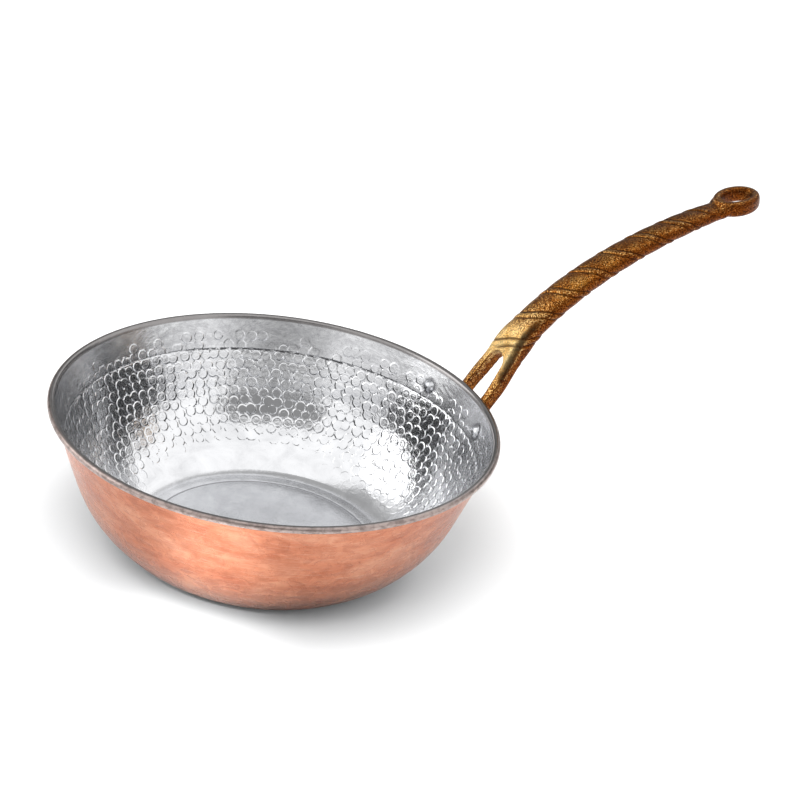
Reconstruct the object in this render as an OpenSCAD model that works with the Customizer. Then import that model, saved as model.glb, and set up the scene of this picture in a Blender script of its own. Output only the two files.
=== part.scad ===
// Hammered copper saucepan: a flared, tinned bowl with a wired rim, and a cast brass handle
// held by two rivets. Z is up, the pan stands on z = 0, and the handle points along +X.

/* [Bowl] */
// Outside diameter over the tinned rim bead
rim_d = 281; // [260:1:300]
// Height from the resting face to the top of the rim
bowl_h = 93; // [88:1:105]
// Lean of the straight upper wall from vertical, in degrees
wall_lean = 19.5; // [17:0.5:21]
// Radius of the belly between the wall and the base
belly_r = 88; // [80:1:92]
// Lean at which the belly turns into the tighter base corner, in degrees
belly_turn = 58; // [50:1:62]
// Radius of the base corner
corner_r = 14; // [10:1:18]
// Thickness of the copper sheet
sheet_t = 1.2; // [1:0.1:2]
// Diameter of the steel wire rolled into the rim
wire_d = 1.8; // [1.4:0.1:2.6]
// Thickness of the tin coating
tin_t = 0.2; // [0.15:0.05:0.4]

/* [Rivets] */
// Angle of each rivet either side of the handle, in degrees
rivet_side = 14; // [12:0.5:16]
// Distance of the rivets below the rim wire, along the wall
rivet_drop = 13.3; // [12.5:0.1:18]
// Diameter of the rivet shank
shank_d = 5; // [4:0.5:6]
// Diameter of the domed head inside the bowl
head_d = 9; // [8:0.5:11]
// Height of the domed head inside the bowl
head_h = 2.6; // [1.5:0.1:3.5]
// Diameter of the peened end outside the foot
tail_d = 8; // [7:0.5:10]
// Height of the peened end outside the foot
tail_h = 1.5; // [1:0.1:2.5]

/* [Handle] */
// Width of the grip just above the fork
grip_w = 24.2; // [21:0.2:27]
// Width of the grip where it meets the hanging eye
grip_end_w = 16.4; // [14:0.2:18]
// Thickness of the grip as a share of its width
grip_flat = 0.61; // [0.5:0.01:0.8]
// Height of the wrapped strap's raised edges
strap_h = 0.5; // [0.3:0.1:1]
// Distance between neighbouring raised edges along the grip
strap_pitch = 22.5; // [18:0.5:28]
// Width over both legs of the fork at the rim
fork_w = 31.4; // [30:0.2:33]
// Thickness of the legs at the rim
leg_t = 8.6; // [7:0.2:10]
// Width of the slot between the legs at the rim
slot_w = 21; // [18:0.5:22.5]
// Width of the slot at its round end
slot_end_w = 16.6; // [14:0.2:18]
// Diameter of the round foot under each rivet
foot_d = 21; // [18:0.5:24]
// Thickness of the foot over the copper
foot_t = 3.6; // [3:0.1:5]

/* [Hanging eye] */
// Length of the hole along the handle
eye_l = 21.2; // [19:0.2:24]
// Width of the hole
eye_w = 14.8; // [12:0.2:17]
// Width of the bar round the hole
eye_bar_w = 6; // [5.5:0.1:7.5]
// Thickness of the bar round the hole
eye_bar_h = 10.6; // [8:0.1:11]

/* [Hidden] */
$fn = 180;

belly_steps = 12;
corner_steps = 5;
bead_step = 20;
curl_turn = 280;
tin_turn = 200;
seat_gap = 0.08;
hole_reach = 6;
dome_steps = 8;

// Rim bead: the sheet wraps the wire, and the tin covers the sheet.
wire_r = wire_d / 2;
bead_r = wire_r + sheet_t;
bead_c = [rim_d / 2 - tin_t - bead_r, bowl_h - tin_t - bead_r];
wall_out = [cos(wall_lean), -sin(wall_lean)];
wall_down = [-sin(wall_lean), -cos(wall_lean)];
wall_top = bead_c - wire_r * wall_out;

// Centres of the belly and corner arcs, each tangent to its neighbours.
corner_z = corner_r;
belly_z = corner_z + (belly_r - corner_r) * sin(belly_turn);
belly_top_z = belly_z - belly_r * sin(wall_lean);
belly_top_x = wall_top[0] - (wall_top[1] - belly_top_z) * tan(wall_lean);
belly_x = belly_top_x - belly_r * cos(wall_lean);
base_r = belly_x + (belly_r - corner_r) * cos(belly_turn);

// Points along the bowl's skin, from the corner up to the rim, at a depth inside the outer face.
function lean_point(c, r, lean) = c + r * [cos(lean), -sin(lean)];
function corner_arc(depth) = [
    for (i = [0 : corner_steps])
        lean_point([base_r, corner_z], corner_r - depth, 90 + (belly_turn - 90) * i / corner_steps)
];
function belly_arc(depth) = [
    for (i = [1 : belly_steps])
        let (lean = belly_turn + (wall_lean - belly_turn) * i / belly_steps)
            lean_point([belly_x, belly_z], belly_r - depth, lean)
];
function skin(depth) = concat(corner_arc(depth), belly_arc(depth), [wall_top - depth * wall_out]);

// Points round the rim bead, from the inside of the wall over the top and down outside.
function bead_arc(r, turn) = [
    for (a = [0 : bead_step : turn]) bead_c + r * [cos(180 - wall_lean - a), sin(180 - wall_lean - a)]
];
function backwards(list) = [for (i = [len(list) - 1 : -1 : 0]) list[i]];

// Frame on the wall's outer face at a rivet, with +Z pointing out of the bowl.
module at_rivet(side) {
    p = wall_top + rivet_drop * wall_down;
    rotate([0, 0, side * rivet_side])
        translate([p[0], 0, p[1]])
            rotate([0, 90 + wall_lean, 0])
                children();
}

module rivet_holes(depth) {
    for (side = [-1, 1])
        at_rivet(side)
            translate([0, 0, -depth])
                cylinder(d = shank_d, h = 2 * depth);
}

module bowl_shell() {
    color("#c8734f")
        difference() {
            rotate_extrude()
                polygon(concat(
                    [[0, 0]],
                    skin(0),
                    bead_arc(wire_r, curl_turn),
                    backwards(bead_arc(bead_r, curl_turn)),
                    backwards(skin(sheet_t)),
                    [[0, sheet_t]]
                ));
            rivet_holes(hole_reach);
        }
}

module tin_lining() {
    inner = sheet_t + tin_t;
    color("#c9cbce")
        difference() {
            rotate_extrude()
                polygon(concat(
                    [[0, sheet_t]],
                    skin(sheet_t),
                    bead_arc(bead_r, tin_turn),
                    backwards(bead_arc(bead_r + tin_t, tin_turn)),
                    backwards(skin(inner)),
                    [[0, inner]]
                ));
            rivet_holes(hole_reach);
        }
}

module rim_wire() {
    color("#6f7276")
        rotate_extrude()
            polygon(bead_arc(wire_r, 360 - bead_step));
}

// Spherical cap of a given base diameter and height, standing on z = 0.
module dome(d, h) {
    ball_r = (d * d / 4 + h * h) / (2 * h);
    half = asin(d / 2 / ball_r);
    outline = [
        for (i = [dome_steps : -1 : 0])
            ball_r * [sin(half * i / dome_steps), cos(half * i / dome_steps) - 1] + [0, h]
    ];
    rotate_extrude()
        polygon(concat([[0, 0]], outline));
}

module rivet(side) {
    inside = sheet_t + tin_t + seat_gap;
    color("#b9bbbd")
        at_rivet(side)
            union() {
                translate([0, 0, -inside])
                    cylinder(d = shank_d, h = inside + foot_t);
                translate([0, 0, -inside])
                    rotate([180, 0, 0])
                        dome(head_d, head_h);
                translate([0, 0, foot_t])
                    dome(tail_d, tail_h);
            }
}

module rivet_left() {
    rivet(1);
}

module rivet_right() {
    rivet(-1);
}

// The handle's centreline is two cubic curves that meet at the crotch of the fork.
crotch = [161, 0, bowl_h + 21];
leg_path = [[134.5, 0, bowl_h - 21], [145, 0, bowl_h - 4], [153, 0, bowl_h + 5.5], crotch];
grip_path = [crotch, [179, 0, bowl_h + 55.5], [238, 0, bowl_h + 94.5], [307, 0, bowl_h + 112.6]];
crotch_w = 27.6;
crotch_t = 10;
leg_narrowing = 0.55;
leg_corner = 0.3;
grip_corner = 0.85;
grip_root = 0.13;
leg_steps = 10;
grip_steps = 60;
handle_sides = 20;
ridge_half = 3;
strap_start = 4;

// Hanging eye: an oval ring whose plane rises towards its tip.
eye_c = [322.8, 0, bowl_h + 118.6];
eye_tilt = 12;
eye_corner = 0.7;
palm_spread = 2.6;
palm_corner = 0.8;
palm_steps = 3;
eye_steps = 32;
eye_sides = 10;

// Wing of each foot: a strip of plate that follows the wall from the leg to the rivet.
wing_from = 4;
wing_top = 6;
wing_bottom = 20;
foot_sink = 2;

function unit(v) = v / norm(v);
function ease(u) = let (x = max(0, min(1, u))) x * x * (3 - 2 * x);
function bezier(p, t) =
    pow(1 - t, 3) * p[0] + 3 * pow(1 - t, 2) * t * p[1] + 3 * (1 - t) * t * t * p[2] + pow(t, 3) * p[3];
function slope(p, t) =
    unit(pow(1 - t, 2) * (p[1] - p[0]) + 2 * (1 - t) * t * (p[2] - p[1]) + t * t * (p[3] - p[2]));
function total(list, i = 0) = i < len(list) ? list[i] + total(list, i + 1) : 0;
grip_points = [for (i = [0 : grip_steps]) bezier(grip_path, i / grip_steps)];
grip_len = total([for (i = [1 : grip_steps]) norm(grip_points[i] - grip_points[i - 1])]);

// Solid through a list of rings that have the same number of points each.
module loft(rings, closed = false) {
    sides = len(rings[0]);
    count = len(rings);
    last = closed ? count - 1 : count - 2;
    walls = [
        for (i = [0 : last], j = [0 : sides - 1])
            let (
                a = i * sides + j,
                b = i * sides + (j + 1) % sides,
                c = ((i + 1) % count) * sides + (j + 1) % sides,
                d = ((i + 1) % count) * sides + j
            )
                each [[a, c, b], [a, d, c]]
    ];
    caps = closed ? [] : [
        [for (j = [0 : sides - 1]) j],
        [for (j = [sides - 1 : -1 : 0]) (count - 1) * sides + j]
    ];
    polyhedron(points = [for (ring = rings) each ring], faces = concat(walls, caps), convexity = 6);
}

// Ring across the handle with squarish round corners; raise is a list of extra height per side.
function round_power(x, corner) = sign(x) * pow(abs(x), corner);
function handle_ring(c, along, half_w, half_t, corner, raise) = [
    for (j = [0 : handle_sides - 1])
        let (a = 360 * j / handle_sides)
            c + (half_w + raise[j]) * round_power(cos(a), corner) * [0, 1, 0]
                + (half_t + raise[j]) * round_power(sin(a), corner) * [-along[2], 0, along[0]]
];

// Height of the strap's raised edge at a distance along the grip and an angle round it.
function strap(s, angle) =
    let (
        turns = (s + strap_start) / strap_pitch - angle / 180,
        off = abs(turns - round(turns)) * strap_pitch
    )
        strap_h * max(0, 1 - pow(off / ridge_half, 2));

// The legs keep their spread from the rim up, and draw in over the last part below the crotch.
function leg_ring(i) =
    let (
        t = i / leg_steps,
        w = fork_w + (crotch_w - fork_w) * ease((t - leg_narrowing) / (1 - leg_narrowing)),
        h = leg_t + (crotch_t - leg_t) * t
    )
        handle_ring(
            bezier(leg_path, t), slope(leg_path, t),
            w / 2, h / 2, leg_corner, [for (j = [1 : handle_sides]) 0]
        );

function grip_ring(i) =
    let (
        t = i / grip_steps,
        grown = ease(t / grip_root),
        full_w = grip_w + (grip_end_w - grip_w) * t * t,
        w = crotch_w + (full_w - crotch_w) * grown,
        h = crotch_t + (full_w * grip_flat - crotch_t) * grown,
        corner = leg_corner + (grip_corner - leg_corner) * grown,
        raise = [for (j = [0 : handle_sides - 1]) grown * strap(t * grip_len, 360 * j / handle_sides)]
    )
        handle_ring(bezier(grip_path, t), slope(grip_path, t), w / 2, h / 2, corner, raise);

// The grip's end widens into a palm that runs into the ring of the hanging eye.
function palm_ring(i) =
    let (
        share = i / palm_steps,
        end = grip_path[3],
        palm = eye_c - eye_l / 2 * [1, 0, tan(eye_tilt)]
    )
        handle_ring(
            end + (palm - end) * share, slope(grip_path, 1),
            grip_end_w / 2 + palm_spread * share, eye_bar_h / 2,
            palm_corner, [for (j = [1 : handle_sides]) 0]
        );

// The slot between the legs, cut square to them. The centre of its round end lies slot_drop
// below the crotch. It has its full width slot_run below the crotch, and runs on past the legs.
slot_drop = 7;
slot_run = 27;
slot_reach = 60;
module slot() {
    flow = slope(leg_path, 1);
    translate(crotch)
        rotate([0, atan2(flow[0], flow[2]), 0])
            rotate([90, 0, 90])
                translate([0, 0, -slot_reach / 2])
                    linear_extrude(slot_reach)
                        union() {
                            translate([0, -slot_drop])
                                circle(d = slot_end_w);
                            polygon([
                                [-slot_end_w / 2, -slot_drop], [-slot_w / 2, -slot_run],
                                [-slot_w / 2, -slot_reach], [slot_w / 2, -slot_reach],
                                [slot_w / 2, -slot_run], [slot_end_w / 2, -slot_drop]
                            ]);
                        }
}

module eye() {
    long = (eye_l + eye_bar_w) / 2;
    wide = (eye_w + eye_bar_w) / 2;
    translate(eye_c)
        rotate([0, -eye_tilt, 0])
            loft(
                [
                    for (i = [0 : eye_steps - 1])
                        let (
                            a = 360 * i / eye_steps,
                            c = [long * cos(a), wide * sin(a), 0],
                            out = unit([cos(a) / long, sin(a) / wide, 0])
                        )
                            [
                                for (j = [0 : eye_sides - 1])
                                    let (b = 360 * j / eye_sides)
                                        c + eye_bar_w / 2 * round_power(cos(b), eye_corner) * out
                                            - eye_bar_h / 2 * round_power(sin(b), eye_corner) * [0, 0, 1]
                            ]
                ],
                closed = true
            );
}

module foot(side) {
    a = wall_top + wing_top * wall_down;
    b = wall_top + wing_bottom * wall_down;
    plate = [a - wall_out, a + foot_t * wall_out, b + foot_t * wall_out, b - wall_out];
    at_rivet(side)
        translate([0, 0, -foot_sink])
            cylinder(d = foot_d, h = foot_t + foot_sink);
    rotate([0, 0, side > 0 ? wing_from : -rivet_side])
        rotate_extrude(angle = rivet_side - wing_from)
            polygon(plate);
}

module bowl_space() {
    rotate_extrude()
        polygon(concat([[0, 0]], skin(0), [[wall_top[0], bowl_h], [0, bowl_h]]));
}

module handle() {
    color("#b5813a")
        difference() {
            union() {
                difference() {
                    loft(concat(
                        [for (i = [0 : leg_steps]) leg_ring(i)],
                        [for (i = [1 : grip_steps]) grip_ring(i)],
                        [for (i = [1 : palm_steps]) palm_ring(i)]
                    ));
                    slot();
                }
                eye();
                foot(1);
                foot(-1);
            }
            bowl_space();
            rivet_holes(2 * hole_reach);
        }
}

bowl_shell();
tin_lining();
rim_wire();
handle();
rivet_left();
rivet_right();
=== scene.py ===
"""Looks of the hammered copper saucepan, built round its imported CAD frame."""

import math

import bmesh
import bpy
import numpy as np
from mathutils import Matrix, Vector


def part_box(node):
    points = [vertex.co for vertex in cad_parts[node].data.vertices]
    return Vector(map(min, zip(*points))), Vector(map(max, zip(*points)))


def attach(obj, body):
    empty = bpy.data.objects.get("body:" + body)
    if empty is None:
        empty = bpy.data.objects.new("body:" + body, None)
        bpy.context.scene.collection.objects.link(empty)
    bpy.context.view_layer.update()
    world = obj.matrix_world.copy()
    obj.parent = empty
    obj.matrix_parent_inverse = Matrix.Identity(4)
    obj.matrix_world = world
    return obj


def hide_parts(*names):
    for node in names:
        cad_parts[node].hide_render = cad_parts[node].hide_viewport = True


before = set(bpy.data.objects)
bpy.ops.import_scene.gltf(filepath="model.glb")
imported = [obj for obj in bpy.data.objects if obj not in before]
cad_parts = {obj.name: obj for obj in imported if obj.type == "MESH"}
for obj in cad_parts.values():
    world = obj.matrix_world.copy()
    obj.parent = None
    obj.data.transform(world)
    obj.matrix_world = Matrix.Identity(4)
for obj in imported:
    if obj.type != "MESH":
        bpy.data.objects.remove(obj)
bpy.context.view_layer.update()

MM = 0.001
TAU = 2 * math.pi
rng = np.random.default_rng(28)

# ---------------------------------------------------------------- sizes, in millimetres
BOWL_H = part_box("bowl_shell")[1].z / MM + 0.2
RIM_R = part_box("tin_lining")[1].x / MM
SHEET = 1.2
TIN = 0.2
WIRE_R = 0.9
BEAD_R = WIRE_R + SHEET
WALL_LEAN = math.radians(19.5)
BELLY_R = 88.0
BELLY_TURN = math.radians(58)
CORNER_R = 14.0
RIVET_SIDE = math.radians(14)
RIVET_DROP = 13.3

BEAD_C = np.array([RIM_R - TIN - BEAD_R, BOWL_H - TIN - BEAD_R])
WALL_OUT = np.array([math.cos(WALL_LEAN), -math.sin(WALL_LEAN)])
WALL_DOWN = np.array([-math.sin(WALL_LEAN), -math.cos(WALL_LEAN)])
WALL_TOP = BEAD_C - WIRE_R * WALL_OUT
BELLY_Z = CORNER_R + (BELLY_R - CORNER_R) * math.sin(BELLY_TURN)
BELLY_TOP_Z = BELLY_Z - BELLY_R * math.sin(WALL_LEAN)
BELLY_TOP_X = WALL_TOP[0] - (WALL_TOP[1] - BELLY_TOP_Z) * math.tan(WALL_LEAN)
BELLY_X = BELLY_TOP_X - BELLY_R * math.cos(WALL_LEAN)
BASE_R = BELLY_X + (BELLY_R - CORNER_R) * math.cos(BELLY_TURN)

# ---------------------------------------------------------------- bowl outline


def arc(centre, radius, lean_from, lean_to, count):
    """Points of an arc in the (radius, height) plane; lean is measured from the horizontal."""
    lean = np.linspace(lean_from, lean_to, count)
    return centre + radius * np.stack([np.cos(lean), -np.sin(lean)], 1)


def skin(depth):
    """The bowl's profile from its axis to the wall's top, at a depth inside the outer face."""
    corner = arc(np.array([BASE_R, CORNER_R]), CORNER_R - depth, math.pi / 2, BELLY_TURN, 40)
    belly = arc(np.array([BELLY_X, BELLY_Z]), BELLY_R - depth, BELLY_TURN, WALL_LEAN, 120)
    wall = [WALL_TOP - depth * WALL_OUT]
    return np.concatenate([[[0.0, depth]], corner, belly[1:], wall])


def ease(u):
    """Smooth step from 0 to 1."""
    u = np.clip(u, 0, 1)
    return u * u * (3 - 2 * u)


def lengths(points):
    """Distance of each point along an open line."""
    return np.concatenate([[0], np.cumsum(np.linalg.norm(np.diff(points, axis=0), axis=1))])


def resample(points, at):
    """Points and inward normals of a line at the given distances along it."""
    s = lengths(points)
    spots = np.stack([np.interp(at, s, points[:, k]) for k in (0, 1)], 1)
    step = 0.4
    ahead = np.stack([np.interp(at + step, s, points[:, k]) for k in (0, 1)], 1)
    behind = np.stack([np.interp(at - step, s, points[:, k]) for k in (0, 1)], 1)
    run = ahead - behind
    run /= np.linalg.norm(run, axis=1)[:, None]
    return spots, np.stack([-run[:, 1], run[:, 0]], 1)


def bead(radius, turn_from, turn_to, count):
    """Points round the rim bead, from the inside of the wall over the top and down outside."""
    turn = math.pi - WALL_LEAN - np.radians(np.linspace(turn_from, turn_to, count))
    return BEAD_C + radius * np.stack([np.cos(turn), np.sin(turn)], 1)


# ---------------------------------------------------------------- hammer marks

MARK_PITCH = 7.3
MARK_ROW = 6.2
MARK_START = 13.0
MARK_ROWS = 19
MARK_SHARE = 0.53  # a mark's radius as a share of the pitch
NO_MARK = 9.0  # the distance given where no mark is near
WALL_LEN = lengths(skin(SHEET + TIN))[-1]


def row_radius(row):
    """Radius of the bowl at the middle of a row of hammer marks."""
    spots, _ = resample(skin(SHEET + TIN), np.atleast_1d(WALL_LEN - MARK_START - row * MARK_ROW))
    return spots[:, 0]


mark_count = np.maximum(8, np.round(TAU * row_radius(np.arange(MARK_ROWS)) / MARK_PITCH)).astype(int)
most = mark_count.max()
mark_turn = rng.uniform(-0.17, 0.17, (MARK_ROWS, most))
mark_drop = rng.uniform(-0.16, 0.16, (MARK_ROWS, most))
mark_size = rng.uniform(0.88, 1.06, (MARK_ROWS, most)) * MARK_SHARE * MARK_PITCH
mark_depth = rng.uniform(0.65, 1.1, (MARK_ROWS, most))
for row, missing in enumerate((0.55, 0.25)):  # the two rows by the rim are faint and have gaps
    mark_depth[row] *= 0.6 * (rng.uniform(0, 1, most) > missing)
mark_phase = rng.uniform(0, 1, MARK_ROWS)


def hammer_marks(theta, drop, radius):
    """Distance from the nearest mark's middle, as a share of its radius, and that mark's height."""
    nearest = np.full(theta.shape, NO_MARK)
    depth = np.zeros(theta.shape)
    middle = np.round((drop - MARK_START) / MARK_ROW).astype(int)
    for row_step in (-1, 0, 1):
        row = middle + row_step
        real = (row >= 0) & (row < MARK_ROWS)
        row = np.clip(row, 0, MARK_ROWS - 1)
        count = mark_count[row]
        place = theta / TAU * count - mark_phase[row]
        for col_step in (-1, 0, 1):
            col = np.round(place).astype(int) + col_step
            which = col % count
            turn = (place - col - mark_turn[row, which]) / count * TAU * radius
            fall = drop - MARK_START - (row + mark_drop[row, which]) * MARK_ROW
            away = np.hypot(turn, fall) / mark_size[row, which]
            closer = real & (away < nearest)
            nearest = np.where(closer, away, nearest)
            depth = np.where(closer, mark_depth[row, which], depth)
    return nearest, depth


# ---------------------------------------------------------------- mesh helpers


def link(name, mesh, body="root", smooth=True):
    """Puts a mesh into the scene as a piece that rides on a body."""
    piece = bpy.data.objects.new(name, mesh)
    bpy.context.scene.collection.objects.link(piece)
    if smooth:
        mesh.polygons.foreach_set("use_smooth", [True] * len(mesh.polygons))
    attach(piece, body)
    return piece


def strip(first_a, count_a, first_b, count_b):
    """Faces between two closed rings; the bigger ring has a whole number of points per point."""
    faces = []
    if count_b > count_a:
        share = count_b // count_a
        for k in range(count_a):
            far = [first_b + (k * share + m) % count_b for m in range(share, -1, -1)]
            faces.append([first_a + k, first_a + (k + 1) % count_a, *far])
    else:
        share = count_a // count_b
        for k in range(count_b):
            near = [first_a + (k * share + m) % count_a for m in range(share + 1)]
            faces.append([*near, first_b + (k + 1) % count_b, first_b + k])
    return faces


def ring_mesh(name, rings, closed=False):
    """Mesh through rings of points; a ring with one point closes the end to a pole."""
    faces = []
    starts = np.concatenate([[0], np.cumsum([len(r) for r in rings])]).astype(int)
    pairs = [(i, i + 1) for i in range(len(rings) - 1)]
    if closed:
        pairs.append((len(rings) - 1, 0))
    for i, j in pairs:
        a, b, na, nb = int(starts[i]), int(starts[j]), len(rings[i]), len(rings[j])
        if na == 1:
            faces += [[a, b + (k + 1) % nb, b + k] for k in range(nb)]
        elif nb == 1:
            faces += [[a + k, a + (k + 1) % na, b] for k in range(na)]
        else:
            faces += strip(a, na, b, nb)
    mesh = bpy.data.meshes.new(name)
    mesh.from_pydata(np.concatenate(rings).tolist(), [], faces)
    mesh.update()
    return mesh


def turned(point, sides):
    """Ring of points that one profile point makes when it turns round the bowl's axis."""
    if point[0] < 1e-6:
        return np.array([[0, 0, point[1]]]) * MM
    theta = np.arange(sides) / sides * TAU
    x, z = point
    return np.stack([x * np.cos(theta), x * np.sin(theta), np.full(sides, z)], 1) * MM


def lifted(spot, way, lift, theta):
    """Ring that a profile point makes when it is moved along its normal by a height per angle."""
    radius = spot[0] + way[0] * lift
    ring = np.stack([radius * np.cos(theta), radius * np.sin(theta), spot[1] + way[1] * lift], 1)
    return ring * MM


def face_out(mesh):
    """Turns every face of a closed mesh outward."""
    work = bmesh.new()
    work.from_mesh(mesh)
    bmesh.ops.recalc_face_normals(work, faces=work.faces)
    work.to_mesh(mesh)
    work.free()


def store(mesh, name, values):
    """Keeps one number per point of a mesh for its material."""
    kept = mesh.attributes.new(name, "FLOAT", "POINT")
    kept.data.foreach_set("value", np.asarray(values, np.float32))


# ---------------------------------------------------------------- materials


# Where one look of the tin turns into the next, as heights or radii in metres.
BAND_EDGE = (0.070, 0.074)
BAND_LINE_Z = 0.0712
BEAD_EDGE = (0.0898, 0.0908)
OUTER_EDGE = (0.1380, 0.1394)
OUTER_DROP = (0.0936, 0.0922)
DISC_EDGE = (0.0712, 0.0702)
BASE_TOP = (0.02, 0.01)
LINE_RING_R = 71.0
SCORE_AT = 58  # direction of the scored line's middle, in degrees
HEAD_DEEP = 1.5
RIVET_HEADS = [
    tuple(np.array([head_x * math.cos(turn), head_x * math.sin(turn), head_z]) * MM)
    for head_x, head_z in [WALL_TOP + RIVET_DROP * WALL_DOWN - HEAD_DEEP * WALL_OUT]
    for turn in (RIVET_SIDE, -RIVET_SIDE)
]


def toward(azimuth, elevation):
    """Unit vector to a direction given in degrees; azimuth 0 is +X."""
    a, e = math.radians(azimuth), math.radians(elevation)
    return Vector((math.cos(a) * math.cos(e), math.sin(a) * math.cos(e), math.sin(e)))


def new_material(name):
    """Empty material with a Principled shader; returns the material, its tree and the shader."""
    material = bpy.data.materials.new(name)
    material.use_nodes = True
    tree = material.node_tree
    tree.nodes.clear()
    out = tree.nodes.new("ShaderNodeOutputMaterial")
    shader = tree.nodes.new("ShaderNodeBsdfPrincipled")
    tree.links.new(shader.outputs[0], out.inputs[0])
    return material, tree, shader


def add(tree, kind, inputs=None, **settings):
    """Adds a node; inputs may be numbers, colours or other nodes' outputs."""
    node = tree.nodes.new("ShaderNode" + kind)
    for key, value in settings.items():
        setattr(node, key, value)
    for key, value in (inputs or {}).items():
        if isinstance(value, bpy.types.NodeSocket):
            tree.links.new(value, node.inputs[key])
        else:
            node.inputs[key].default_value = value
    return node


def place(tree, scale=(1, 1, 1)):
    """Position on the object in metres, stretched along its axes."""
    coords = add(tree, "TexCoord").outputs["Object"]
    return add(tree, "VectorMath", {0: coords, 1: scale}, operation="MULTIPLY").outputs[0]


def noise(tree, vector, scale, detail=4.0, rough=0.55, twist=0.0):
    """Noise value; scale is in cells per metre."""
    inputs = {"Vector": vector, "Scale": scale, "Detail": detail, "Roughness": rough, "Distortion": twist}
    return add(tree, "TexNoise", inputs).outputs["Fac"]


def ramp(tree, value, *stops):
    """Colour ramp; each stop is (place, colour) with a grey number or an RGB colour."""
    node = add(tree, "ValToRGB", {0: value})
    elements = node.color_ramp.elements
    while len(elements) < len(stops):
        elements.new(0.5)
    for element, (spot, colour) in zip(elements, stops):
        element.position = spot
        rgb = (colour,) * 3 if isinstance(colour, (int, float)) else colour
        element.color = (*rgb, 1)
    return node.outputs[0]


def span(tree, value, low, high, to_low=0.0, to_high=1.0):
    """Value mapped smoothly from one range to another and clamped."""
    inputs = {0: value, 1: low, 2: high, 3: to_low, 4: to_high}
    return add(tree, "MapRange", inputs, interpolation_type="SMOOTHSTEP").outputs[0]


def maths(tree, operation, a, b=0.0):
    """One sum on numbers or other nodes' outputs."""
    return add(tree, "Math", {0: a, 1: b}, operation=operation).outputs[0]


def times(tree, a, b):
    """Product of two values."""
    return maths(tree, "MULTIPLY", a, b)


def blend(tree, share, a, b, way="MIX"):
    """Mix of two colours."""
    node = tree.nodes.new("ShaderNodeMix")
    node.data_type = "RGBA"
    node.blend_type = way
    for key, value in ((0, share), (6, a), (7, b)):
        if isinstance(value, bpy.types.NodeSocket):
            tree.links.new(value, node.inputs[key])
        else:
            node.inputs[key].default_value = (*value, 1) if isinstance(value, tuple) else value
    return node.outputs[2]


def bumped(tree, shader, *layers):
    """Chains bumps, each (height, distance in metres, strength), into the shader's normal."""
    normal = None
    for height, distance, strength in layers:
        inputs = {"Height": height, "Distance": distance, "Strength": strength}
        if normal is not None:
            inputs["Normal"] = normal
        normal = add(tree, "Bump", inputs).outputs[0]
    tree.links.new(normal, shader.inputs["Normal"])


def wire_to(tree, shader, **sockets):
    """Links values to the shader's colour, roughness or metal socket."""
    names = {"colour": "Base Color", "rough": "Roughness", "metal": "Metallic"}
    for key, socket in sockets.items():
        tree.links.new(socket, shader.inputs[names[key]])


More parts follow.
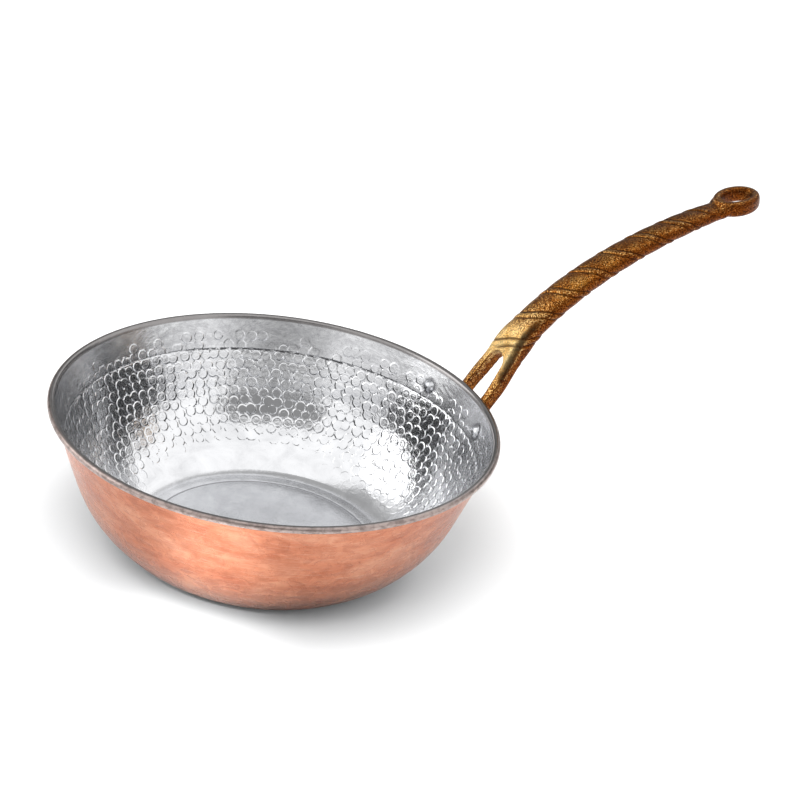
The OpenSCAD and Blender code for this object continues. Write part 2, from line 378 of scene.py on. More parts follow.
def tin_material():
    """Bright tin: mirror-like on the hammered wall, mottled and duller in the band by the rim."""
    material, tree, shader = new_material("bright_tin")
    spot = place(tree)
    across = add(tree, "SeparateXYZ", {0: spot}).outputs
    height = across[2]
    flat = add(tree, "CombineXYZ", {0: across[0], 1: across[1]}).outputs[0]
    radius = add(tree, "VectorMath", {0: flat}, operation="LENGTH").outputs["Value"]
    away = add(tree, "Attribute", attribute_name="mark_away").outputs["Fac"]
    tall = add(tree, "Attribute", attribute_name="mark_height").outputs["Fac"]
    cloud = noise(tree, place(tree, (1, 1, 1.6)), 55, 5, 0.6, 0.6)
    mottle = noise(tree, place(tree, (1, 1, 1.5)), 240, 5, 0.7, 0.4)
    fine = noise(tree, place(tree, (1, 1, 4)), 900, 3, 0.65)

    band = span(tree, height, *BAND_EDGE)
    on_bead = span(tree, height, *BEAD_EDGE)
    outer = times(tree, span(tree, radius, *OUTER_EDGE), span(tree, height, *OUTER_DROP))
    disc = span(tree, radius, *DISC_EDGE)
    ring_at = maths(tree, "ABSOLUTE", maths(tree, "SUBTRACT", radius, LINE_RING_R * MM))
    ring = times(tree, span(tree, ring_at, 0.0009, 0.0003), times(tree, span(tree, height, *BASE_TOP), 0.65))
    ripple = times(tree, maths(tree, "SUBTRACT", mottle, 0.5), 0.002)
    wavy = maths(tree, "ADD", height, ripple)
    line_at = maths(tree, "ABSOLUTE", maths(tree, "SUBTRACT", wavy, BAND_LINE_Z))
    score_way = {0: spot, 1: toward(SCORE_AT, 0)}
    behind = add(tree, "VectorMath", score_way, operation="DOT_PRODUCT").outputs["Value"]
    scored = times(tree, span(tree, line_at, 0.0009, 0.0004), span(tree, behind, 0.104, 0.112))
    scored = times(tree, scored, span(tree, mottle, 0.42, 0.5))

    pale, mid, grey = (0.84, 0.845, 0.86), (0.74, 0.745, 0.76), (0.62, 0.625, 0.64)
    colour = ramp(tree, cloud, (0.25, grey), (0.5, mid), (0.8, pale))
    dull = times(tree, band, span(tree, mottle, 0.58, 0.4))
    colour = blend(tree, times(tree, dull, 0.5), colour, (0.50, 0.50, 0.52))
    colour = blend(tree, times(tree, on_bead, 0.85), colour, (0.21, 0.195, 0.19))
    colour = blend(tree, times(tree, disc, 0.35), colour, (0.50, 0.51, 0.53))
    colour = blend(tree, ring, colour, (0.16, 0.16, 0.17))
    # Painted shade: dark rings round the two rivet heads on the inside of the bowl.
    for head in RIVET_HEADS:
        off = add(tree, "VectorMath", {0: spot, 1: head}, operation="DISTANCE").outputs["Value"]
        shade = times(tree, span(tree, off, 0.0072, 0.0046), 0.75)
        colour = blend(tree, shade, colour, (0.12, 0.12, 0.13))
    worn = blend(tree, span(tree, mottle, 0.35, 0.62), (0.22, 0.17, 0.155), (0.46, 0.37, 0.34))
    colour = blend(tree, times(tree, outer, 0.9), colour, worn)
    colour = blend(tree, times(tree, scored, 0.9), colour, (0.05, 0.05, 0.055))

    rough = maths(tree, "ADD", span(tree, cloud, 0.3, 0.75, 0.09, 0.04), times(tree, band, 0.12))
    rough = maths(tree, "ADD", rough, times(tree, outer, 0.14))
    wire_to(tree, shader, colour=colour, rough=rough)
    shader.inputs["Metallic"].default_value = 1.0

    facet = times(tree, span(tree, away, 1.0, 0.74), tall)
    lip = times(tree, span(tree, away, 0.5, 0.8), facet)
    crease = times(tree, span(tree, line_at, 0.0009, 0.0), span(tree, cloud, 0.36, 0.55, -1.0, -0.2))
    bumped(
        tree, shader, (facet, 0.00027, 1.0), (lip, 0.00006, 1.0), (crease, 0.0003, 1.0),
        (cloud, 0.0006, 0.35), (mottle, 0.00018, 0.35), (fine, 0.00006, 0.4),
    )
    return material


def copper_material():
    """Satin copper with soft marks, circling scratches and darker, redder patches."""
    material, tree, shader = new_material("satin_copper")
    cloud = noise(tree, place(tree, (1, 1, 2.2)), 26, 6, 0.62, 0.5)
    blotch = noise(tree, place(tree, (1, 1, 1.4)), 90, 4, 0.6, 1.0)
    scratch = noise(tree, place(tree, (1, 1, 26)), 70, 4, 0.7)
    hair = noise(tree, place(tree, (14, 14, 60)), 40, 2, 0.5)
    deep, mid, pale = (0.41, 0.135, 0.073), (0.53, 0.215, 0.126), (0.66, 0.335, 0.220)
    base = ramp(tree, cloud, (0.28, deep), (0.5, mid), (0.74, pale))
    patches = ramp(tree, blotch, (0.32, (0.42, 0.37, 0.35)), (0.66, (0.60, 0.56, 0.54)))
    base = blend(tree, 0.8, base, patches, "OVERLAY")
    base = blend(tree, span(tree, scratch, 0.5, 0.75, 0.0, 0.35), base, (0.80, 0.52, 0.41))
    rough = maths(tree, "ADD", span(tree, blotch, 0.3, 0.8, 0.20, 0.32), times(tree, scratch, 0.06))
    # Light that reaches the copper off a dull surface sees grey, so the floor's shadow isn't tinted.
    from_dull = add(tree, "LightPath").outputs["Is Diffuse Ray"]
    base = blend(tree, from_dull, base, (0.22, 0.22, 0.23))
    wire_to(tree, shader, colour=base, rough=rough)
    shader.inputs["Metallic"].default_value = 1.0
    bumped(tree, shader, (blotch, 0.0007, 0.4), (scratch, 0.00014, 0.5), (hair, 0.00007, 0.4))
    return material


def brass_material():
    """Antique cast brass: gold where it is worn, rust brown with black specks elsewhere; a painted highlight
    on the tops by the crotch and painted shade on the sides.
    """
    material, tree, shader = new_material("antique_brass")
    spot = place(tree)
    relief, polish_and_highlight, dark_streak = (
        add(tree, "Attribute", attribute_name=name).outputs["Fac"] for name in ("relief", "polish_and_highlight", "dark_streak")
    )
    cloud = noise(tree, spot, 85, 5, 0.62, 0.5)
    grain = noise(tree, spot, 1300, 4, 0.72, 0.3)
    fine = noise(tree, spot, 3200, 3, 0.7)
    # Darker towards the handle's far end and its eye.
    toward_end = span(tree, add(tree, "SeparateXYZ", {0: spot}).outputs[0], 0.17, 0.31)
    # Painted shade: faces turned to the handle's sides are darker and get less gold.
    facing = add(tree, "SeparateXYZ", {0: add(tree, "TexCoord").outputs["Normal"]}).outputs[1]
    side = span(tree, maths(tree, "ABSOLUTE", facing), 0.45, 0.95)
    rust, mid, tan = (0.24, 0.060, 0.005), (0.42, 0.130, 0.012), (0.58, 0.235, 0.030)
    base = ramp(tree, cloud, (0.3, rust), (0.5, mid), (0.72, tan))
    base = blend(tree, times(tree, toward_end, 0.5), base, (0.17, 0.038, 0.003))
    base = blend(tree, times(tree, side, 0.75), base, (0.17, 0.034, 0.002))
    gold = ramp(tree, cloud, (0.3, (0.85, 0.47, 0.12)), (0.7, (1.0, 0.76, 0.36)))
    black = (0.012, 0.005, 0.003)
    # Gold from rubbed ridges and from worn gold with a painted highlight on the tops by the crotch; less on
    # the sides, as painted shade.
    rub_and_light = maths(tree, "ADD", times(tree, relief, 0.2), times(tree, polish_and_highlight, 0.95))
    rub_and_light = maths(tree, "SUBTRACT", rub_and_light, times(tree, side, 0.3))
    wear_and_light = maths(tree, "ADD", span(tree, grain, 0.46, 0.66), rub_and_light)
    colour = blend(tree, span(tree, wear_and_light, 0.45, 1.15, 0.0, 0.95), base, gold)
    pitted = span(tree, polish_and_highlight, 0.3, 0.9, 0.95, 0.55)
    speck = times(tree, span(tree, grain, 0.52, 0.45), pitted)
    hollow = span(tree, relief, -0.15, -0.75, 0.0, 0.75)
    # A dark streak along one corner by the crotch, frayed by noise.
    ragged = maths(tree, "ADD", times(tree, grain, 2.0), times(tree, cloud, 1.6))
    streak = span(tree, times(tree, dark_streak, ragged), 1.2, 1.75, 0.0, 0.9)
    dark = maths(tree, "MAXIMUM", maths(tree, "MAXIMUM", speck, hollow), streak)
    colour = blend(tree, dark, colour, black)
    rough = maths(tree, "ADD", span(tree, dark, 0.0, 1.0, 0.20, 0.42), times(tree, fine, 0.08))
    wire_to(tree, shader, colour=colour, rough=rough)
    shader.inputs["Metallic"].default_value = 1.0
    bumped(tree, shader, (cloud, 0.0012, 0.35), (grain, 0.0003, 1.0), (fine, 0.00008, 0.6))
    return material


def rivet_material():
    """Tinned rivet: grey, slightly dull, with small dents and dark specks."""
    material, tree, shader = new_material("tinned_rivet")
    cloud = noise(tree, place(tree), 260, 4, 0.6, 0.4)
    fine = noise(tree, place(tree), 1500, 3, 0.6)
    dark, mid, pale = (0.36, 0.36, 0.38), (0.62, 0.63, 0.65), (0.82, 0.83, 0.85)
    colour = ramp(tree, cloud, (0.3, dark), (0.55, mid), (0.8, pale))
    wire_to(tree, shader, colour=colour, rough=span(tree, fine, 0.3, 0.7, 0.18, 0.34))
    shader.inputs["Metallic"].default_value = 1.0
    bumped(tree, shader, (cloud, 0.0005, 0.4), (fine, 0.00008, 0.4))
    return material


def wire_material():
    """Drawn steel wire with faint lengthwise marks."""
    material, tree, shader = new_material("steel_wire")
    marks = noise(tree, place(tree, (1, 1, 8)), 600, 3, 0.6)
    colour = ramp(tree, marks, (0.3, (0.28, 0.28, 0.29)), (0.7, (0.52, 0.52, 0.54)))
    wire_to(tree, shader, colour=colour, rough=span(tree, marks, 0.3, 0.7, 0.3, 0.5))
    shader.inputs["Metallic"].default_value = 1.0
    bumped(tree, shader, (marks, 0.0001, 0.4))
    return material


def floor_material():
    """Plain white studio floor."""
    material, tree, shader = new_material("studio_floor")
    faint = noise(tree, place(tree), 3, 2, 0.5)
    wire_to(tree, shader, colour=ramp(tree, faint, (0.3, 0.88), (0.7, 0.90)))
    shader.inputs["Roughness"].default_value = 0.9
    shader.inputs["Specular IOR Level"].default_value = 0.1
    return material


# ---------------------------------------------------------------- bowl pieces

SIDES = 720
LINE_SINK = 0.22  # the floor inside the line ring lies this much lower
RING_STEP, RING_DEEP, RING_HALF = 1.6, 0.10, 0.8
BUMP_H, BUMP_FROM, BUMP_RUN = 0.15, 82, 42
DENT_H, DENT_FROM, DENT_RUN = 0.14, 4, 14
SWELL_H, SWELL_FROM = 0.05, 100
OUTER_SWELL_H = 0.06
TIN_BACK_SINK = 0.3
COPPER_BACK_GAP = 0.15
OFF_MARK = 2.0  # distance kept where a point lies on no mark


def tin_lining():
    """Tin coat: hammered inside face, bead over the rim, and a plain hidden back."""
    inside = skin(SHEET + TIN)
    floor_end = BASE_R - 2
    wall_end = WALL_LEN
    floor_at = np.array([0, 12, 26, 42, 56, 66, 69.2, 70.4, 71.4, 72.6, floor_end])
    marked_at = np.linspace(floor_end + 1.2, wall_end - 8.5, 100)
    band_at = np.linspace(wall_end - 7.5, wall_end, 7)
    rings, away, height = [], [], []
    for at, sides in ((floor_at, SIDES // 4), (marked_at, SIDES), (band_at, SIDES // 2)):
        spots, inward = resample(inside, at)
        for s, (x, z), (nx, nz) in zip(at, spots, inward):
            if x < 1e-6:
                rings.append(np.array([[0, 0, z - LINE_SINK]]) * MM)
                away.append([OFF_MARK])
                height.append([0.0])
                continue
            theta = np.arange(sides) / sides * TAU
            drop = WALL_LEN - s
            fade = ease((s - BUMP_FROM) / BUMP_RUN)
            nearest, depth = hammer_marks(theta, np.full(sides, drop), x)
            away.append(np.minimum(nearest, OFF_MARK))
            height.append(depth * fade)
            lift = BUMP_H * fade * depth * np.clip(1 - nearest**2, 0, 1)
            lift -= LINE_SINK * np.clip((LINE_RING_R - s) / RING_STEP + 0.5, 0, 1)
            lift -= RING_DEEP * np.exp(-(((s - LINE_RING_R) / RING_HALF) ** 2))
            lift += SWELL_H * np.sin(3 * theta + s / 9) * np.clip((s - SWELL_FROM) / 30, 0, 1)
            rings.append(lifted((x, z), (nx, nz), lift, theta))
    outer_bead = bead(BEAD_R + TIN, 8, 200, 20)
    rings += [turned(p, SIDES // 2) for p in outer_bead]
    inner_bead = bead(BEAD_R, 200, 0, 12)
    rings += [turned(p, SIDES // 4) for p in inner_bead]
    back_at = np.concatenate([np.linspace(WALL_LEN - 2, BASE_R, 16), np.linspace(BASE_R - 10, 0, 4)])
    spots, _ = resample(skin(SHEET), back_at)
    spots[-4:, 1] -= TIN_BACK_SINK
    rings += [turned(p, SIDES // 8) for p in spots]
    mesh = ring_mesh("tin_lining", rings)
    plain = len(mesh.vertices) - sum(len(part) for part in away)
    store(mesh, "mark_away", np.concatenate([*away, np.full(plain, OFF_MARK)]))
    store(mesh, "mark_height", np.concatenate([*height, np.zeros(plain)]))
    mesh.flip_normals()
    return link("tin_coat", mesh)


def copper_bowl():
    """Copper bowl: softly dented outer face, rolled edge, and a plain hidden inside."""
    outside = skin(0.0)
    end = lengths(outside)[-1]
    base_at = np.array([0, 20, 40, 60, 72, BASE_R - 1])
    wall_at = np.linspace(BASE_R + 0.5, end - 1.5, 74)
    rings = []
    for at, sides in ((base_at, SIDES // 6), (wall_at, SIDES // 3 * 2)):
        spots, inward = resample(outside, at)
        for s, (x, z), (nx, nz) in zip(at, spots, inward):
            if x < 1e-6:
                rings.append(np.array([[0, 0, 0]]) * MM)
                continue
            theta = np.arange(sides) / sides * TAU
            drop = end - s
            fade = np.clip((s - BASE_R - DENT_FROM) / DENT_RUN, 0, 1)
            nearest, depth = hammer_marks(theta, np.full(sides, drop), x)
            lift = DENT_H * fade * depth * np.clip(1 - nearest**2, 0, 1)
            lift += OUTER_SWELL_H * fade * (1 + np.sin(5 * theta + s / 11) * np.sin(8 * theta - s / 17))
            rings.append(lifted((x, z), (nx, nz), lift, theta))
    rings += [turned(p, SIDES // 3) for p in bead(WIRE_R, 0, 280, 14)]
    rings += [turned(p, SIDES // 3) for p in bead(BEAD_R - 0.02, 280, 0, 22)]
    back_at = np.concatenate([np.linspace(end - 3, BASE_R, 16), np.linspace(BASE_R - 10, 0, 4)])
    hidden = skin(SHEET - COPPER_BACK_GAP)
    spots, _ = resample(hidden, np.minimum(back_at, lengths(hidden)[-1]))
    rings += [turned(p, SIDES // 6) for p in spots]
    mesh = ring_mesh("copper_bowl", rings)
    return link("copper_bowl", mesh)


tin = tin_lining()
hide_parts("tin_lining")
tin.data.materials.append(tin_material())

copper = copper_bowl()
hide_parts("bowl_shell")
copper.data.materials.append(copper_material())

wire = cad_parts["rim_wire"]
wire.data.materials.clear()
wire.data.materials.append(wire_material())

# ---------------------------------------------------------------- handle

CROTCH = np.array([161.0, 0.0, BOWL_H + 21])
LEG_PATH = np.array(
    [[134.5, 0, BOWL_H - 21], [145, 0, BOWL_H - 4], [153, 0, BOWL_H + 5.5], CROTCH]
)
GRIP_PATH = np.array([CROTCH, [179, 0, BOWL_H + 55.5], [238, 0, BOWL_H + 94.5], [307, 0, BOWL_H + 112.6]])
GRIP_W, GRIP_END_W, GRIP_FLAT = 24.2, 16.4, 0.61
CROTCH_W, CROTCH_T, LEG_T, FORK_W = 27.6, 10.0, 8.8, 31.8
GRIP_ROOT = 0.13
STRAP_H, STRAP_PITCH, STRAP_START = 0.42, 22.5, 4.0
SLOT_W, SLOT_END_W, SLOT_END_AT, SLOT_RUN = 20.6, 16.2, 7.0, 27.0
LEG_CORNER, GRIP_CORNER = 0.3, 0.85
PALM_SPREAD, PALM_CORNER = 2.6, 0.8
FOOT_D, FOOT_T = 21.0, 3.6
EYE_C = np.array([322.8, 0.0, BOWL_H + 118.6])
EYE_TILT = math.radians(12)
EYE_L, EYE_W, EYE_BAR_W, EYE_BAR_H = 21.2, 14.8, 6.0, 10.6


def bezier(p, t):
    """Points of a cubic curve at shares of its length."""
    t = np.atleast_1d(t)[:, None]
    return (1 - t) ** 3 * p[0] + 3 * (1 - t) ** 2 * t * p[1] + 3 * (1 - t) * t**2 * p[2] + t**3 * p[3]


def slope(p, t):
    """Unit directions of a cubic curve."""
    t = np.atleast_1d(t)[:, None]
    way = (1 - t) ** 2 * (p[1] - p[0]) + 2 * (1 - t) * t * (p[2] - p[1]) + t**2 * (p[3] - p[2])
    return way / np.linalg.norm(way, axis=1)[:, None]


def section(centre, along, half_w, half_t, corner, sides=48):
    """Ring across the handle with squarish round corners."""
    a = np.arange(sides) / sides * TAU
    y = half_w * np.sign(np.cos(a)) * np.abs(np.cos(a)) ** corner
    up = half_t * np.sign(np.sin(a)) * np.abs(np.sin(a)) ** corner
    lift = np.array([-along[2], 0, along[0]])
    return (centre + np.outer(y, [0, 1, 0]) + np.outer(up, lift)) * MM


def capped(name, rings):
    """Closed mesh through rings with a fan at each end."""
    ends = [rings[0].mean(0)[None, :], *rings, rings[-1].mean(0)[None, :]]
    mesh = ring_mesh(name, ends)
    face_out(mesh)
    return mesh


def scratch(name, mesh):
    """Temporary object for the shaping steps."""
    piece = bpy.data.objects.new(name, mesh)
    bpy.context.scene.collection.objects.link(piece)
    return piece


def grip_sizes(t):
    """Half width, half thickness and corner power at a share of the grip's length."""
    grown = ease(t / GRIP_ROOT)
    full = GRIP_W + (GRIP_END_W - GRIP_W) * t * t
    w = CROTCH_W + (full - CROTCH_W) * grown
    h = CROTCH_T + (full * GRIP_FLAT - CROTCH_T) * grown
    return w / 2, h / 2, LEG_CORNER + (GRIP_CORNER - LEG_CORNER) * ease(t / GRIP_ROOT / 2)


def grip_and_legs():
    """One loft: the fork's two legs as one wide bar, the grip, and the palm that meets the eye."""
    rings = []
    for t in np.linspace(0, 1, 24)[:-1]:
        w = FORK_W + (CROTCH_W - FORK_W) * ease((t - 0.55) / 0.45)
        h = LEG_T + (CROTCH_T - LEG_T) * t
        rings.append(section(bezier(LEG_PATH, t)[0], slope(LEG_PATH, t)[0], w / 2, h / 2, LEG_CORNER))
    for t in np.linspace(0, 1, 110):
        rings.append(section(bezier(GRIP_PATH, t)[0], slope(GRIP_PATH, t)[0], *grip_sizes(t)))
    end, way = bezier(GRIP_PATH, 1)[0], slope(GRIP_PATH, 1)[0]
    palm = EYE_C - np.array([EYE_L / 2, 0, EYE_L / 2 * math.tan(EYE_TILT)])
    for share in (0.35, 0.7, 1.0):
        spot = end + (palm - end) * share
        half_w = GRIP_END_W / 2 + PALM_SPREAD * share
        rings.append(section(spot, way, half_w, EYE_BAR_H / 2 + 0.6 * (1 - share), PALM_CORNER))
    return capped("grip", rings)


def slot_cutter():
    """Prism of the slot between the legs, with a round end, cut square to the legs."""
    turn = np.linspace(0, math.pi, 25)
    round_end = SLOT_END_W / 2 * np.stack([np.cos(turn), np.sin(turn)], 1) - [0, SLOT_END_AT]
    reach = 60
    legs = [[-SLOT_W / 2, -SLOT_RUN], [-SLOT_W / 2, -reach], [SLOT_W / 2, -reach], [SLOT_W / 2, -SLOT_RUN]]
    outline = np.concatenate([round_end, legs])
    along = slope(LEG_PATH, 1)[0]
    across = np.array([-along[2], 0, along[0]])
    flat = np.outer(outline[:, 0], [0, 1, 0]) + np.outer(outline[:, 1], along) + CROTCH
    rings = [(flat + across * side * 30) * MM for side in (-1, 1)]
    return capped("slot", rings)


def eye_ring():
    """Oval ring with a rounded bar."""
    long, wide = (EYE_L + EYE_BAR_W) / 2, (EYE_W + EYE_BAR_W) / 2
    rings = []
    for a in np.arange(96) / 96 * TAU:
        out = np.array([math.cos(a) / long, math.sin(a) / wide, 0])
        out /= np.linalg.norm(out)
        b = np.arange(24) / 24 * TAU
        swell = 0.9 + 0.1 * abs(math.sin(a))
        ring = np.array([long * math.cos(a), wide * math.sin(a), 0])
        wide_way = np.sign(np.cos(b)) * np.abs(np.cos(b)) ** 0.7
        tall_way = np.sign(np.sin(b)) * np.abs(np.sin(b)) ** 0.7
        ring = ring + np.outer(EYE_BAR_W / 2 * wide_way, out)
        ring = ring + np.outer(EYE_BAR_H / 2 * swell * tall_way, [0, 0, 1])
        c, s = math.cos(EYE_TILT), math.sin(EYE_TILT)
        x, y, z = ring.T
        turned_up = np.stack([x * c - z * s, y, x * s + z * c], 1)
        rings.append((turned_up + EYE_C) * MM)
    mesh = ring_mesh("eye", rings, closed=True)
    face_out(mesh)
    return mesh


def wall_frame(side, drop=RIVET_DROP):
    """Matrix of the rivet's place on the wall's outer face, with +Z out of the bowl."""
    p = WALL_TOP + drop * WALL_DOWN
    return (
        Matrix.Rotation(side * RIVET_SIDE, 4, "Z")
        @ Matrix.Translation((p[0] * MM, 0, p[1] * MM))
        @ Matrix.Rotation(math.pi / 2 + WALL_LEAN, 4, "Y")
    )


def foot(side):
    """Round flange under the rivet with a wing of plate that follows the wall to the leg."""
    work = bmesh.new()
    ring_count = 6
    profile = [(0.0, -2.0), (FOOT_D / 2, -2.0), (FOOT_D / 2, FOOT_T - 1.0)]
    for k in range(ring_count + 1):
        a = math.pi / 2 * k / ring_count
        profile.append((FOOT_D / 2 - 1 + math.cos(a), FOOT_T - 1 + math.sin(a)))
    profile.append((0.0, FOOT_T + 0.2))
    mesh = ring_mesh("disc", [turned(point, 48) for point in profile])
    mesh.transform(wall_frame(side))
    work.from_mesh(mesh)
    wing = []
    a = WALL_TOP + 6 * WALL_DOWN
    b = WALL_TOP + 20 * WALL_DOWN
    edge = [a - 1.5 * WALL_OUT, a + FOOT_T * WALL_OUT, b + FOOT_T * WALL_OUT, b - 1.5 * WALL_OUT]
    for angle in np.linspace(math.radians(4), RIVET_SIDE, 8):
        t = side * angle
        wing.append(np.array([[p[0] * math.cos(t), p[0] * math.sin(t), p[1]] for p in edge]) * MM)
    work.from_mesh(capped("wing", wing))
    bmesh.ops.recalc_face_normals(work, faces=work.faces)
    out = bpy.data.meshes.new("foot")
    work.to_mesh(out)
    work.free()
    return out


def apply_all(piece):
    """Applies a piece's modifiers to its mesh."""
    graph = bpy.context.evaluated_depsgraph_get()
    mesh = bpy.data.meshes.new_from_object(piece.evaluated_get(graph))
    piece.modifiers.clear()
    piece.data = mesh


def outer_radius(z):
    """Radius of the bowl's outer face at a height."""
    profile = skin(0.0)[1:]
    return np.interp(z, profile[:, 1], profile[:, 0])


GRIP_T = np.linspace(0, 1, 600)
GRIP_LINE = bezier(GRIP_PATH, GRIP_T)
GRIP_WAY = slope(GRIP_PATH, GRIP_T)
GRIP_S = lengths(GRIP_LINE)
RIDGE_HALF = 2.6
SKIN_VOXEL = 0.00055
GROOVE_H, BAND_H = 0.38, 0.35


def strap_relief(points):
    """Height of the cast strap pattern at points on the grip, how raised each point is, where worn gold with
    a painted highlight lies, and where a dark streak lies.
    """
    gap = ((points[:, None, [0, 2]] - GRIP_LINE[None, ::4, [0, 2]]) ** 2).sum(2)
    near = gap.argmin(1) * 4
    way = GRIP_WAY[near]
    off = points - GRIP_LINE[near]
    s = GRIP_S[near] + (off * way).sum(1)
    up = -off[:, 0] * way[:, 2] + off[:, 2] * way[:, 0]
    half_w, half_t, _ = grip_sizes(GRIP_T[near])
    angle = np.arctan2(up / half_t, off[:, 1] / half_w)
    wobble = 0.5 * np.sin(s / 6.1 + 2 * angle) + 0.4 * np.sin(s / 3.7 - angle)
    turns = (s + STRAP_START + wobble) / STRAP_PITCH - angle / math.pi
    away = (turns - np.round(turns)) * STRAP_PITCH
    ridge = np.clip(1 - (away / RIDGE_HALF) ** 2, 0, 1) ** 0.7
    groove = np.exp(-(((np.abs(away) - RIDGE_HALF - 0.3) / 0.75) ** 2))
    swell = np.cos(math.pi * away / STRAP_PITCH) ** 2
    band = BAND_H * (1 - swell) * (np.abs(away) > RIDGE_HALF)
    on_grip = ease((s + 2) / 7) * ease((GRIP_S[-1] - 4 - s) / 8)
    lift = on_grip * (STRAP_H * ridge - GROOVE_H * groove + band)
    # Worn gold with a painted highlight on the top faces near the crotch.
    on_top = ease((np.sin(angle) + 0.1) / 0.7)
    polish_and_highlight = on_top * np.exp(-(((s - 6) / 26) ** 2))
    # A dark streak along one upper corner near the crotch.
    corner = np.exp(-(((angle - 2.5) / 0.5) ** 2))
    dark_streak = corner * ease((s + 24) / 12) * ease((48 - s) / 25)
    return lift, on_grip * (ridge - 1.1 * groove), polish_and_highlight, dark_streak


def handle_casting():
    """One brass casting: legs and grip, the slot between the legs, the eye and the feet."""
    body = scratch("casting", grip_and_legs())
    cutter = scratch("slot", slot_cutter())
    cut = body.modifiers.new("slot", "BOOLEAN")
    cut.operation = "DIFFERENCE"
    cut.solver = "EXACT"
    cut.object = cutter
    apply_all(body)
    bpy.data.objects.remove(cutter)
    work = bmesh.new()
    work.from_mesh(body.data)
    for mesh in (eye_ring(), foot(1), foot(-1)):
        work.from_mesh(mesh)
    work.to_mesh(body.data)
    work.free()
    remesh = body.modifiers.new("skin", "REMESH")
    remesh.mode = "VOXEL"
    remesh.voxel_size = SKIN_VOXEL
    apply_all(body)
    soften = body.modifiers.new("soften", "SMOOTH")
    soften.factor = 0.5
    soften.iterations = 4
    apply_all(body)
    mesh = body.data
    count = len(mesh.vertices)
    co = np.empty(count * 3, np.float32)
    mesh.vertices.foreach_get("co", co)
    co = co.reshape(-1, 3).astype(float) / MM
    normal = np.empty(count * 3, np.float32)
    mesh.vertices.foreach_get("normal", normal)
    normal = normal.reshape(-1, 3)
    lift, *looks = strap_relief(co)
    co += normal * lift[:, None]
    radius = np.hypot(co[:, 0], co[:, 1])
    wall = outer_radius(co[:, 2]) + 0.05
    sunk = (radius < wall) & (co[:, 2] < BOWL_H - 3)
    push = np.where(sunk, wall / radius, 1.0)
    co[:, 0] *= push
    co[:, 1] *= push
    mesh.vertices.foreach_set("co", (co * MM).astype(np.float32).ravel())
    for name, values in zip(("relief", "polish_and_highlight", "dark_streak"), looks):
        store(mesh, name, values)
    mesh.update()
    bpy.data.objects.remove(body)
    return link("handle_casting", mesh)


casting = handle_casting()
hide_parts("handle")
casting.data.materials.clear()
casting.data.materials.append(brass_material())

# ---------------------------------------------------------------- rivets

SHANK_D, HEAD_D, HEAD_H, TAIL_D, TAIL_H = 5.0, 9.0, 2.6, 8.0, 1.5


def rivet(name, side):
    """Hammered dome inside, shank, and a flatter peened end outside."""
    inside = SHEET + TIN + 0.05

    def dome(d, h, foot_z, way):
        ball = (d * d / 4 + h * h) / (2 * h)
        half = math.asin(d / 2 / ball)
        return [
            (ball * math.sin(half * k / 9), foot_z + way * (ball * math.cos(half * k / 9) - ball + h))
            for k in range(10)
        ]

    head = dome(HEAD_D, HEAD_H, -inside, -1)
    tail = dome(TAIL_D, TAIL_H, FOOT_T + 0.1, 1)
    profile = head + [(SHANK_D / 2, -inside + 0.05), (SHANK_D / 2, FOOT_T)] + tail[::-1]
    turns = 48
    a = np.arange(turns) / turns * TAU
    rings = []
    for r, z in profile:
        if r < 1e-6:
            rings.append(np.array([[0, 0, z]]) * MM)
            continue
        dent = 1 + 0.03 * np.sin(3 * a + side) + 0.015 * np.sin(7 * a + z)
        rings.append(np.stack([r * dent * np.cos(a), r * dent * np.sin(a), np.full(turns, z)], 1) * MM)
    mesh = ring_mesh(name, rings)
    mesh.transform(wall_frame(side))
    face_out(mesh)
    piece = link(name, mesh)
    return piece


tinned = rivet_material()
for node, side in (("rivet_left", 1), ("rivet_right", -1)):
    piece = rivet(node + "_domed", side)
    piece.data.materials.append(tinned)
    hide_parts(node)

# ---------------------------------------------------------------- floor, light and camera


FLOOR_Z = -0.0002


def make_floor():
    """Wide floor a hair under the pan's base, so that the two faces don't coincide."""
    half = 40.0
    mesh = bpy.data.meshes.new("floor")
    low = FLOOR_Z
    corners = [(-half, -half, low), (half, -half, low), (half, half, low), (-half, half, low)]
    mesh.from_pydata(corners, [], [(0, 1, 2, 3)])
    floor = bpy.data.objects.new("floor", mesh)
    bpy.context.scene.collection.objects.link(floor)
    mesh.materials.append(floor_material())


CARDS = (
    # azimuth, elevation, radius and soft edge in degrees, and the share of light left
    (15, 8, 16, 10, 0.25),
    (62, 0, 18, 14, 0.3),
    (105, 0, 16, 14, 0.35),
    (88, 44, 26, 14, 0.4),
    (140, 16, 20, 14, 2.3),
)
# A dark side of the room, fixed in the world: grey after one bounce and black after later ones.
NEAR_CARDS = ((228, 28, 12, 6), (245, 27, 13, 6), (262, 28, 12, 6))
NEAR_LEFT = 0.27
DEEP_CARDS = ((222, 33, 18, 6), (245, 34, 20, 6), (270, 35, 18, 6))
DEEP_LEFT = 0.02
LATER_DEPTH = 2.5  # the world reads 2 after one bounce


def card_share(tree, way, azimuth, elevation, radius, soft):
    """1 where a direction falls on a round card, 0 off it."""
    both = {0: way, 1: toward(azimuth, elevation)}
    near = add(tree, "VectorMath", both, operation="DOT_PRODUCT").outputs["Value"]
    return span(tree, near, math.cos(math.radians(radius + soft)), math.cos(math.radians(radius)))


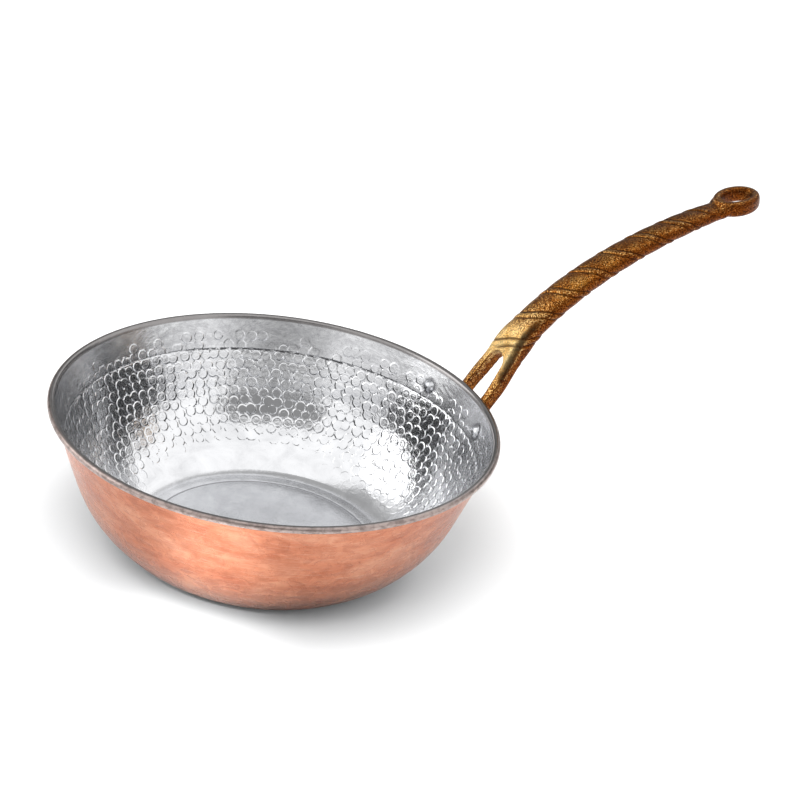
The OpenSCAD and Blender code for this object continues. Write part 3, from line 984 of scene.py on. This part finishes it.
def studio_world():
    """White studio all round with a few dark cards, which the camera doesn't see directly."""
    world = bpy.data.worlds.new("studio")
    bpy.context.scene.world = world
    world.use_nodes = True
    tree = world.node_tree
    tree.nodes.clear()
    out = tree.nodes.new("ShaderNodeOutputWorld")
    way = add(tree, "TexCoord").outputs["Generated"]
    height = add(tree, "SeparateXYZ", {0: way}).outputs[2]
    light = span(tree, height, 0.0, 0.3, 0.45, 1.25)
    depth = add(tree, "LightPath").outputs["Ray Depth"]
    later = maths(tree, "GREATER_THAN", depth, LATER_DEPTH)
    sooner = maths(tree, "SUBTRACT", 1.0, later)
    for azimuth, elevation, radius, soft, left in CARDS:
        share = card_share(tree, way, azimuth, elevation, radius, soft)
        lost = times(tree, share, 1.0 - left)
        light = times(tree, light, maths(tree, "SUBTRACT", 1.0, lost))
    for cards, left, seen in ((NEAR_CARDS, NEAR_LEFT, sooner), (DEEP_CARDS, DEEP_LEFT, later)):
        share = 0.0
        for card in cards:
            share = maths(tree, "MAXIMUM", share, card_share(tree, way, *card))
        lost = times(tree, times(tree, share, seen), 1.0 - left)
        light = times(tree, light, maths(tree, "SUBTRACT", 1.0, lost))
    studio = tree.nodes.new("ShaderNodeBackground")
    tree.links.new(light, studio.inputs["Strength"])
    studio.inputs["Color"].default_value = (1, 1, 1, 1)
    plain = tree.nodes.new("ShaderNodeBackground")
    plain.inputs["Color"].default_value = (1, 1, 1, 1)
    plain.inputs["Strength"].default_value = 1.0
    pick = tree.nodes.new("ShaderNodeMixShader")
    seen = add(tree, "LightPath").outputs["Is Camera Ray"]
    tree.links.new(seen, pick.inputs[0])
    tree.links.new(studio.outputs[0], pick.inputs[1])
    tree.links.new(plain.outputs[0], pick.inputs[2])
    tree.links.new(pick.outputs[0], out.inputs[0])


def softbox(name, azimuth, elevation, distance, size, power):
    """Soft lamp that faces the pan and doesn't show in reflections."""
    lamp = bpy.data.lights.new(name, "AREA")
    lamp.shape = "RECTANGLE"
    lamp.size, lamp.size_y = size
    lamp.energy = power
    box = bpy.data.objects.new(name, lamp)
    aim = Vector((0.05, 0, 0.06))
    box.visible_glossy = False
    box.location = aim + toward(azimuth, elevation) * distance
    box.rotation_euler = (aim - box.location).to_track_quat("-Z", "Y").to_euler()
    bpy.context.scene.collection.objects.link(box)


def floor_glow():
    """Soft pool of light on the floor in front of the pan, which the copper reflects."""
    lamp = bpy.data.lights.new("glow", "SPOT")
    lamp.energy = 135
    lamp.spot_size = math.radians(5.5)
    lamp.spot_blend = 1.0
    lamp.shadow_soft_size = 0.03
    spot = bpy.data.objects.new("glow", lamp)
    aim = toward(225, 0) * 0.17
    spot.location = aim + toward(228, 45) * 1.4
    spot.rotation_euler = (aim - spot.location).to_track_quat("-Z", "Y").to_euler()
    spot.visible_glossy = False
    bpy.context.scene.collection.objects.link(spot)


VIEW_AZIMUTH = -31.5
VIEW_ELEVATION = 26.825
VIEW_ROLL = 8.658
VIEW_FROM = (-0.5552, -1.0485, 0.7119)
VIEW_LENS = 97.11


def make_camera():
    """Camera from the side and above, rolled a little."""
    data = bpy.data.cameras.new("camera")
    data.lens = VIEW_LENS
    data.sensor_width = 36.0
    data.clip_end = 200.0
    camera = bpy.data.objects.new("camera", data)
    bpy.context.scene.collection.objects.link(camera)
    bpy.context.scene.camera = camera
    a, e, r = (math.radians(v) for v in (VIEW_AZIMUTH, VIEW_ELEVATION, VIEW_ROLL))
    forward = Vector((-math.sin(a) * math.cos(e), math.cos(a) * math.cos(e), -math.sin(e)))
    level = Vector((math.cos(a), math.sin(a), 0))
    upright = level.cross(forward)
    right = level * math.cos(r) + upright * math.sin(r)
    up = upright * math.cos(r) - level * math.sin(r)
    turn = Matrix((right, up, -forward)).transposed().to_4x4()
    camera.matrix_world = Matrix.Translation(VIEW_FROM) @ turn


make_floor()
studio_world()
softbox("key", 215, 62, 1.6, (1.2, 0.9), 18)
softbox("fill", 20, 55, 1.8, (1.4, 1.0), 8)
floor_glow()
make_camera()

view = bpy.context.scene.view_settings
view.view_transform = "Standard"
view.look = "None"
view.exposure = 0.0
